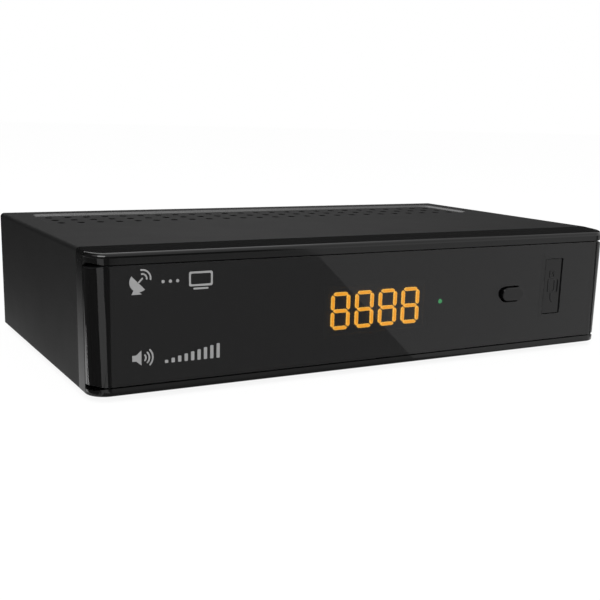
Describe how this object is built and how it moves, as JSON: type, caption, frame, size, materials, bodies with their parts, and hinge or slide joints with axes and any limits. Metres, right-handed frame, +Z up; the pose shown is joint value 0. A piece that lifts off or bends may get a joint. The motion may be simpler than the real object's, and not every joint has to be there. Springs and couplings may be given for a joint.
{
  "type": "satellite tv receiver",
  "caption": "Small desk-top satellite receiver: vented steel case, gloss wrap-round front with lit figures, a push button, a hinged socket cover, boards, tuner and rear sockets.",
  "frame": {"origin": "middle of the footprint, on the surface that the feet stand on", "axes": "+X to the right of someone facing the front, +Y from the front to the rear, +Z up"},
  "size_m": [0.168, 0.1054, 0.0374],
  "materials": {
    "black_steel": "fine-textured satin black powder coat",
    "gloss_black": "polished black moulding",
    "smoked_plate": "polished dark smoked acrylic",
    "rubber": "matt",
    "black_screw": "black passivated",
    "bright_steel": "zinc plated",
    "circuit_board": "green solder mask on glass laminate",
    "matt_black": "moulded, matt",
    "chip": "moulded epoxy",
    "amber_light": "lit diffusing plastic",
    "green_light": "lit chip lamp",
    "clear_plastic": "clear moulded",
    "white_plastic": "moulded",
    "orange_plastic": "moulded",
    "ribbon": "flat insulated wires",
    "tinplate": "tinned",
    "plated_metal": "nickel plated",
    "aluminium": "plain"
  },
  "bodies": {
    "case": {"base_tray": "black_steel", "top_cover": "black_steel", "front_bezel": "gloss_black", "front_plate": "smoked_plate", "foot_front_left": "rubber", "foot_front_right": "rubber", "foot_rear_left": "rubber", "foot_rear_right": "rubber", "cover_screw_1": "black_screw", "cover_screw_2": "black_screw", "front_board": "circuit_board", "display_housing": "matt_black", "display_light_guide": "amber_light", "status_light_pipe": "clear_plastic", "status_lamp": "green_light", "infrared_receiver": "chip", "switch_body": "matt_black", "link_cable": "ribbon", "front_board_screw_1": "bright_steel", "front_board_screw_2": "bright_steel", "main_board": "circuit_board", "board_screw_1": "bright_steel", "board_screw_2": "bright_steel", "board_screw_3": "bright_steel", "board_screw_4": "bright_steel", "processor": "chip", "heat_sink": "aluminium", "memory_chip": "chip", "flash_chip": "chip", "crystal": "tinplate", "regulator": "chip", "power_coil": "chip", "capacitor_1": "aluminium", "capacitor_2": "aluminium", "capacitor_3": "aluminium", "capacitor_4": "aluminium", "link_header": "white_plastic", "data_socket_shell": "plated_metal", "data_socket_core": "matt_black", "tuner_frame": "tinplate", "tuner_lid": "tinplate", "aerial_socket": "plated_metal", "aerial_nut": "plated_metal", "audio_socket_body": "orange_plastic", "audio_socket_sleeve": "plated_metal", "video_socket_shell": "plated_metal", "video_socket_core": "matt_black", "television_socket_shield": "plated_metal", "television_socket_core": "matt_black", "power_socket_body": "matt_black", "power_socket_pin": "plated_metal"},
    "button": {"standby_button": "gloss_black"},
    "plunger": {"switch_plunger": "white_plastic"},
    "flap": {"socket_flap": "gloss_black"}
  },
  "joints": [
    {"name": "standby_press", "type": "slide", "parent": "case", "child": "button", "axis": [0, 1, 0], "range_m": [0, 0.0005], "stiffness_N_per_m": 3000},
    {"name": "plunger_press", "type": "slide", "parent": "case", "child": "plunger", "axis": [0, 1, 0], "range_m": [0, 0.00025]},
    {"name": "socket_flap_swing", "type": "hinge", "parent": "case", "child": "flap", "pos_m": [0.0592, -0.0505, 0.02055], "axis": [0, 0, -1], "range_deg": [0, 90]}
  ],
  "couplings": [
    {"joint": "plunger_press", "follows": "standby_press", "ratio": 0.5}
  ]
}
